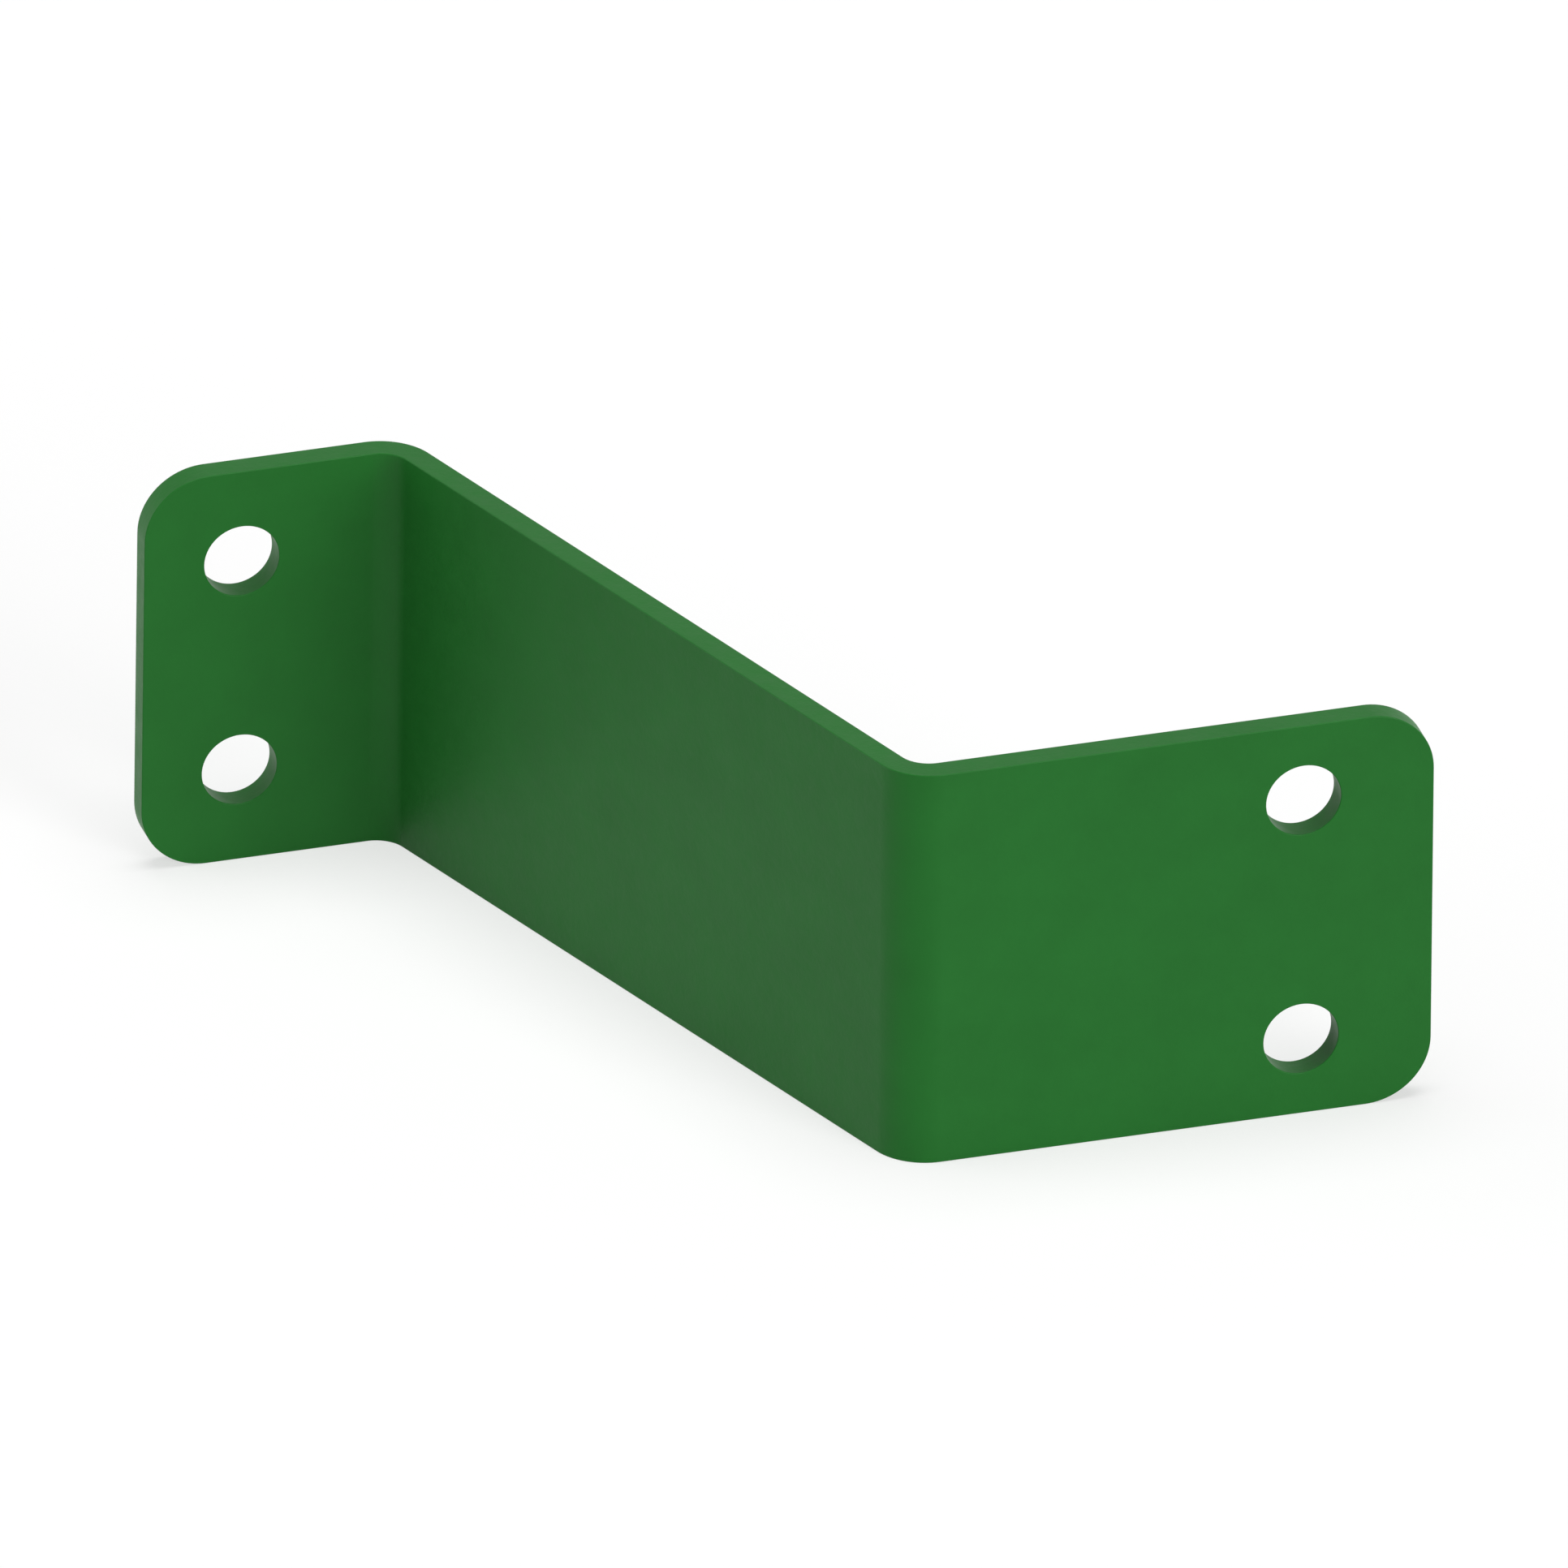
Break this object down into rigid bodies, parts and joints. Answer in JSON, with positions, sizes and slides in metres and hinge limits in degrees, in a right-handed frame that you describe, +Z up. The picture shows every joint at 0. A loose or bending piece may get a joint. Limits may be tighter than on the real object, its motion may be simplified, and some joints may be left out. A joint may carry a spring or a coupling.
{
  "type": "manifold bracket",
  "caption": "Z-shaped bracket folded from a painted steel strip, with parallel offset flanges joined by a slanted web and bolt holes in each flange, to hold a manifold off its support.",
  "frame": {"origin": "middle of the overall box in plan, at the level of the strip's lower edge", "axes": "+X along both flanges, from the short flange to the long one; +Y from the long flange to the short flange, square to both; +Z up, across the strip's width"},
  "size_m": [0.2068, 0.1536, 0.0825],
  "materials": {
    "green_paint": "satin"
  },
  "bodies": {
    "root": {"bracket": "green_paint"}
  },
  "joints": []
}
